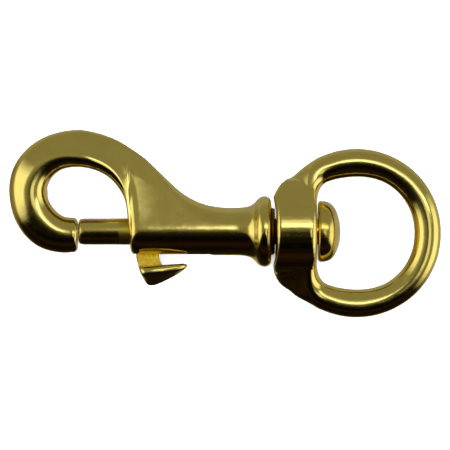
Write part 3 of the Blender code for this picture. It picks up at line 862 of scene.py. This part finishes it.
class SNAPHOOK_OT_swivel_eye(bpy.types.Operator):
    """Build the round eye with its hub"""

    bl_idname = "snaphook.swivel_eye"
    bl_label = "Swivel Eye"

    def execute(self, context):
        sizes, colours = context.scene.snap_hook_sizes, context.scene.snap_hook_colours
        bore_r, dish_r, dish_end = 3.0, 5.7, HUB_FRONT + 0.72
        material = brass(
            "eye_brass", colours.polished, colours.polished_deep, colours.polish, wave=0.12
        )
        eye = make_object("swivel_eye_casting", self.ring(sizes), [material])
        combine(eye, self.hub(), "UNION")
        for start, end, radius in ((25, 45, bore_r), (28, dish_end, dish_r)):
            drill = turned([(start, 0), (start, radius), (end, radius), (end, 0)], sizes.turned_points)
            combine(eye, drill, "DIFFERENCE")
        soften(eye, 0.17, 5)
        finish_piece(eye, "eye", "swivel_eye", 60)
        return {"FINISHED"}

    def ring(self, sizes):
        """The ring of round stock, with arms that widen towards the hub."""
        crest_shift = 0.45  # how far the crest of the stock lies outwards on the trigger's side
        low_fill, low_fill_at, low_fill_spread = 0.65, 136.0, 8.0
        back_trim, back_trim_at, back_trim_spread = 1.0, 152.0, 7.0
        hole, stock = sizes.eye_hole_radius, sizes.eye_wire_radius
        corner, outside = stock - 0.01, hole + 2 * stock - 0.02
        # Degrees from the far side, inner and outer radius, then corner radius and half thickness of each.
        arm = [
            (0.0, hole, outside, corner, stock, corner, stock),
            (60.0, hole, outside, corner, stock, corner, stock),
            (112.0, hole, outside, corner, stock, corner, stock),
            (124.0, 12.95, 18.60, 2.7, 3.2, 2.7, 2.75),
            (134.0, 12.15, 18.65, 2.2, 4.0, 2.3, 2.3),
            (139.5, 11.45, 18.95, 1.9, 4.6, 2.2, 2.2),
            (144.5, 10.85, 19.85, 1.7, 5.1, 2.1, 2.1),
            (150.0, 10.3, 20.25, 1.6, 5.4, 2.1, 2.1),
            (156.0, 10.2, 20.0, 1.6, 5.4, 2.0, 2.0),
            (162.0, 10.2, 18.9, 1.6, 5.1, 1.8, 1.8),
            (168.0, 10.2, 17.6, 1.6, 5.0, 1.8, 1.8),
            (180.0, 10.2, 16.6, 1.6, 5.0, 1.8, 1.8),
        ]
        per_degree = 0.28  # the ring's length to a degree, in mm
        rows = [[angle * per_degree, 0, *rest] for angle, *rest in arm]
        rows = spline_through(rows, sizes.section_gap)
        half = [(length / per_degree, *rest) for length, _, *rest in rows]
        loop = half + [(360 - a, *rest) for a, *rest in reversed(half[1:-1])]
        sections = []
        for angle, inner, outer, inner_r, inner_t, outer_r, outer_t in loop:
            turn = math.radians(angle)
            direction = (math.cos(turn), math.sin(turn))
            if turn > math.pi:
                outer += low_fill * math.exp(-(((360 - angle) - low_fill_at) / low_fill_spread) ** 2)
            else:
                outer -= back_trim * math.exp(-((angle - back_trim_at) / back_trim_spread) ** 2)
            lobes = [(inner + inner_r, inner_r, inner_t), (outer - outer_r, outer_r, outer_t)]
            crest = crest_shift * max(0.0, -math.sin(turn)) ** 2
            section = placed_section(EYE_CENTRE, direction, lobes, 48)
            for place in section:
                slide = crest * (place.z / inner_t) ** 2
                place.x += direction[0] * slide
                place.y += direction[1] * slide
            sections.append(section)
        return loft(sections, closed=True)

    def hub(self):
        """The drum across the ring: rounded at both rims, with a trough where it faces the collar.

        Over the back it slopes straight down to the arm, and on the trigger's side it closes in an oval.
        """
        half_thick, front_rim, rear_rim = 8.98, 1.0, 1.5
        trough_depth, trough_reach = 0.7, 8.2
        relief_length = 6.0  # how far back from the front face the trough and the chamfers reach
        outline = self.hub_outline(half_thick)
        rings = [
            (HUB_FRONT + front_rim * (1 - math.cos(turn)), front_rim * (1 - math.sin(turn)))
            for turn in quarter(8)
        ]
        rings += [(x, 0.0) for x in (33.2, 34.4, 35.6, 36.8, 38.0, 38.8)]
        rings += [
            (HUB_REAR - rear_rim * (1 - math.cos(turn)), rear_rim * (1 - math.sin(turn)))
            for turn in reversed(quarter(8))
        ]
        sections = []
        for x, inset in rings:
            keep = 1 - inset / half_thick
            share = max(0.0, 1 - (x - HUB_FRONT) / relief_length)
            section = []
            for y, z in outline:
                trough = trough_depth * max(0.0, 1 - (abs(y) / trough_reach) ** 4)
                chamfer = 0.5 * max(0.0, y - 8.4) + max(0.0, y - 10.7) + 0.6 * max(0.0, -y - 9.0)
                section.append(Vector((x + (trough + chamfer) * share, y * keep, z * keep)))
            sections.append(section)
        return loft(sections)

    def hub_outline(self, half_thick):
        """The drum's outline across the axis, as (y, z) points from the trigger's side round to itself."""
        crown_r, crown_turn, slope_end, slope_round, low_height = 10.0, math.radians(40), 10.9, 0.8, 9.7
        half = [(-low_height * math.cos(turn), half_thick * math.sin(turn)) for turn in quarter(12)]
        for step in range(1, 9):
            turn = crown_turn * step / 8
            half.append((crown_r * math.sin(turn), half_thick - crown_r * (1 - math.cos(turn))))
        start_y, start_z = half[-1]
        for step in range(1, 6):
            y = start_y + (slope_end - start_y) * step / 5
            half.append((y, start_z - (y - start_y) * math.tan(crown_turn)))
        shoulder = half[-1][1]
        for turn in quarter(6)[1:]:
            half.append((slope_end + slope_round * math.sin(turn), shoulder * math.cos(turn)))
        return half[:-1] + [(y, -z) for y, z in reversed(half[1:])]


class SNAPHOOK_OT_stage(bpy.types.Operator):
    """Set the floor, the soft light and the camera"""

    bl_idname = "snaphook.stage"
    bl_label = "Stage"

    def execute(self, context):
        self.floor()
        self.card()
        self.world(context.scene)
        self.lights()
        self.camera(context.scene)
        context.scene.view_settings.view_transform = "Standard"
        return {"FINISHED"}

    def sheet(self, name, middle, size_x, size_y, material_name):
        """A flat rectangle on the stage with a fresh material, in metres."""
        bm = bmesh.new()
        bmesh.ops.create_grid(bm, x_segments=1, y_segments=1, size=0.5)
        bmesh.ops.scale(bm, verts=bm.verts, vec=(size_x, size_y, 1))
        bmesh.ops.translate(bm, verts=bm.verts, vec=middle)
        mesh = bpy.data.meshes.new(name)
        bm.to_mesh(mesh)
        bm.free()
        material = bpy.data.materials.new(material_name)
        material.use_nodes = True
        mesh.materials.append(material)
        sheet = bpy.data.objects.new(name, mesh)
        bpy.context.scene.collection.objects.link(sheet)
        return sheet, material

    def floor(self):
        """A plain pale sheet that the metal doesn't mirror."""
        floor, material = self.sheet("floor", (0, 0, 0), 1.8, 1.8, "floor_paper")
        floor.visible_glossy = False
        shader = material.node_tree.nodes["Principled BSDF"]
        shader.inputs["Base Color"].default_value = (0.9, 0.9, 0.9, 1)
        shader.inputs["Roughness"].default_value = 0.9
        shader.inputs["Specular IOR Level"].default_value = 0.0
        shader.inputs["Emission Color"].default_value = (1, 1, 1, 1)
        shader.inputs["Emission Strength"].default_value = 0.35

    def world(self, scene):
        """Soft surroundings: pale over the hook's back, dark on the trigger's side, bright at both ends."""
        world = bpy.data.worlds.new("studio")
        scene.world = world
        world.use_nodes = True
        tree = world.node_tree
        link = linker(tree)
        back = tree.nodes["Background"]
        coords = node_of(tree, "TexCoord", (-1600, 0))
        parts = node_of(tree, "SeparateXYZ", (-1400, 0))
        link(coords, "Generated", parts, "Vector")
        along_back = self.ramp(tree, parts.outputs["Y"], parts.outputs["Z"], (-400, 0), BACK_LIGHT)
        along = node_of(tree, "VectorMath", (-1400, -400), operation="DOT_PRODUCT")
        to_eye = (math.cos(END_TURN), math.sin(END_TURN), 0)
        along.inputs[1].default_value = to_eye
        link(coords, "Generated", along, 0)
        flat = node_of(tree, "VectorMath", (-1200, 300), operation="MULTIPLY")
        flat.inputs[1].default_value = (1, 1, 0)
        along_eye = self.ramp(tree, along.outputs["Value"], parts.outputs["Z"], (-400, -400), END_LIGHT)
        level = node_of(tree, "VectorMath", (-1000, 300), operation="NORMALIZE")
        heading = node_of(tree, "VectorMath", (-800, 300), operation="DOT_PRODUCT")
        heading.inputs[1].default_value = to_eye
        amount = node_of(tree, "Math", (-600, 300), operation="ABSOLUTE")
        to_end = node_of(tree, "MapRange", (-400, 300), From_Min=0.80, From_Max=0.98)
        to_end.interpolation_type = "SMOOTHSTEP"
        link(coords, "Generated", flat, 0)
        link(flat, "Vector", level, 0)
        link(level, "Vector", heading, 0)
        link(heading, "Value", amount, 0)
        link(amount, "Value", to_end, "Value")
        blend = node_of(tree, "Mix", (-150, 0), data_type="RGBA")
        link(to_end, "Result", blend, "Factor")
        link(along_back, "Color", blend, "A")
        link(along_eye, "Color", blend, "B")
        path = node_of(tree, "LightPath", (-150, 400))
        mix = node_of(tree, "Mix", (100, 100), data_type="RGBA")
        link(path, "Is Camera Ray", mix, "Factor")
        link(blend, "Result", mix, "A")
        mix.inputs["B"].default_value = (0.9 / STRONGEST,) * 3 + (1,)
        link(mix, "Result", back, "Color")
        back.inputs["Strength"].default_value = STRONGEST

    def ramp(self, tree, sideways, upwards, place, stops):
        """Light by how far a direction leans from straight up towards one side."""
        link = linker(tree)
        lean = node_of(tree, "Math", (place[0] - 400, place[1]), operation="ARCTAN2")
        tree.links.new(sideways, lean.inputs[0])
        tree.links.new(upwards, lean.inputs[1])
        turn = {"From_Min": -math.pi, "From_Max": math.pi}
        share = node_of(tree, "MapRange", (place[0] - 200, place[1]), **turn)
        link(lean, "Value", share, "Value")
        ramp = node_of(tree, "ValToRGB", place)
        link(share, "Result", ramp, "Fac")
        self.set_stops(
            ramp,
            [
                ((degrees + 180) / 360, [share / STRONGEST for share in colour])
                for degrees, *colour in stops
            ],
        )
        return ramp

    def set_stops(self, ramp, stops):
        """Gives a colour ramp its stops, as (position, colour) pairs."""
        elements = ramp.color_ramp.elements
        while len(elements) < len(stops):
            elements.new(0.5)
        for element, (position, colour) in zip(elements, stops):
            element.position = position
            element.color = (*colour, 1)

    def card(self):
        """A lit card over the hook's back that puts a bright line along the barrel and the eye."""
        low_x, high_x, low_y, high_y, height = -0.016, 0.30, 0.030, 0.205, 0.3
        soft_edge = 0.016
        middle = ((low_x + high_x) / 2, (low_y + high_y) / 2, height)
        card, material = self.sheet("card", middle, high_x - low_x, high_y - low_y, "card_light")
        card.visible_camera = False
        card.visible_diffuse = False
        card.visible_shadow = False
        tree = material.node_tree
        link = linker(tree)
        tree.nodes.remove(tree.nodes["Principled BSDF"])
        out = tree.nodes["Material Output"]
        coords = node_of(tree, "TexCoord", (-1200, 0))
        parts = node_of(tree, "SeparateXYZ", (-1000, 0))
        link(coords, "Object", parts, "Vector")
        span = {"From_Min": low_x, "From_Max": low_x + soft_edge}
        edge = node_of(tree, "MapRange", (-700, 200), **span)
        edge.interpolation_type = "SMOOTHSTEP"
        link(parts, "X", edge, "Value")
        across = node_of(tree, "MapRange", (-700, -100), From_Min=low_y, From_Max=high_y)
        link(parts, "Y", across, "Value")
        ramp = node_of(tree, "ValToRGB", (-500, -100))
        link(across, "Result", ramp, "Fac")
        stops = []
        for degrees, value in CARD_LIGHT:
            y = height * math.tan(math.radians(degrees))
            stops.append(((y - low_y) / (high_y - low_y), (value, value, value)))
        self.set_stops(ramp, stops)
        shape = node_of(tree, "Math", (-200, 0), operation="MULTIPLY")
        link(edge, "Result", shape, 0)
        link(ramp, "Color", shape, 1)
        glow = node_of(tree, "Emission", (0, 100), Color=(0.93, 1.0, 1.75, 1), Strength=STRONGEST)
        clear = node_of(tree, "BsdfTransparent", (0, -100))
        mix = node_of(tree, "MixShader", (200, 0))
        link(shape, "Value", mix, "Fac")
        link(clear, "BSDF", mix, 1)
        link(glow, "Emission", mix, 2)
        link(mix, "Shader", out, "Surface")

    def lights(self):
        """A large soft light over the floor that the polished metal doesn't mirror."""
        lamp = bpy.data.lights.new("overhead", "AREA")
        lamp.shape = "DISK"
        lamp.size = 0.8
        lamp.energy = 26.0
        light = bpy.data.objects.new("overhead", lamp)
        light.location = (0, 0.1, 1.0)
        light.visible_glossy = False
        bpy.context.scene.collection.objects.link(light)

    def camera(self, scene):
        """Looks straight down on the hook."""
        lens = bpy.data.cameras.new("camera")
        distance = 0.9
        width = 99.0 * MM
        lens.lens = lens.sensor_width * distance / width
        lens.clip_start = 0.01
        camera = bpy.data.objects.new("camera", lens)
        camera.location = (0, -0.0003, MOUTH.z + distance)
        scene.collection.objects.link(camera)
        scene.camera = camera


class SNAPHOOK_PT_panel(bpy.types.Panel):
    """Lists the pieces of the snap hook"""

    bl_idname = "SNAPHOOK_PT_panel"
    bl_label = "Snap Hook"
    bl_space_type = "VIEW_3D"
    bl_region_type = "UI"
    bl_category = "Snap Hook"

    def draw(self, context):
        layout = self.layout
        for group in (context.scene.snap_hook_sizes, context.scene.snap_hook_colours):
            for name in group.bl_rna.properties.keys():
                if name not in ("rna_type", "name"):
                    layout.prop(group, name)
        for operator in PIECES:
            layout.operator(operator.bl_idname)


PIECES = (
    SNAPHOOK_OT_hook_body,
    SNAPHOOK_OT_latch_bolt,
    SNAPHOOK_OT_thumb_trigger,
    SNAPHOOK_OT_bolt_spring,
    SNAPHOOK_OT_swivel_pin,
    SNAPHOOK_OT_swivel_eye,
    SNAPHOOK_OT_stage,
)
CLASSES = (SnapHookSizes, SnapHookColours, *PIECES, SNAPHOOK_PT_panel)


def register():
    for item in CLASSES:
        bpy.utils.register_class(item)
    bpy.types.Scene.snap_hook_sizes = bpy.props.PointerProperty(type=SnapHookSizes)
    bpy.types.Scene.snap_hook_colours = bpy.props.PointerProperty(type=SnapHookColours)


def unregister():
    del bpy.types.Scene.snap_hook_colours
    del bpy.types.Scene.snap_hook_sizes
    for item in reversed(CLASSES):
        bpy.utils.unregister_class(item)


def main():
    register()
    bpy.ops.snaphook.hook_body()
    bpy.ops.snaphook.latch_bolt()
    bpy.ops.snaphook.thumb_trigger()
    bpy.ops.snaphook.bolt_spring()
    bpy.ops.snaphook.swivel_pin()
    bpy.ops.snaphook.swivel_eye()
    bpy.ops.snaphook.stage()


if __name__ == "__main__":
    main()
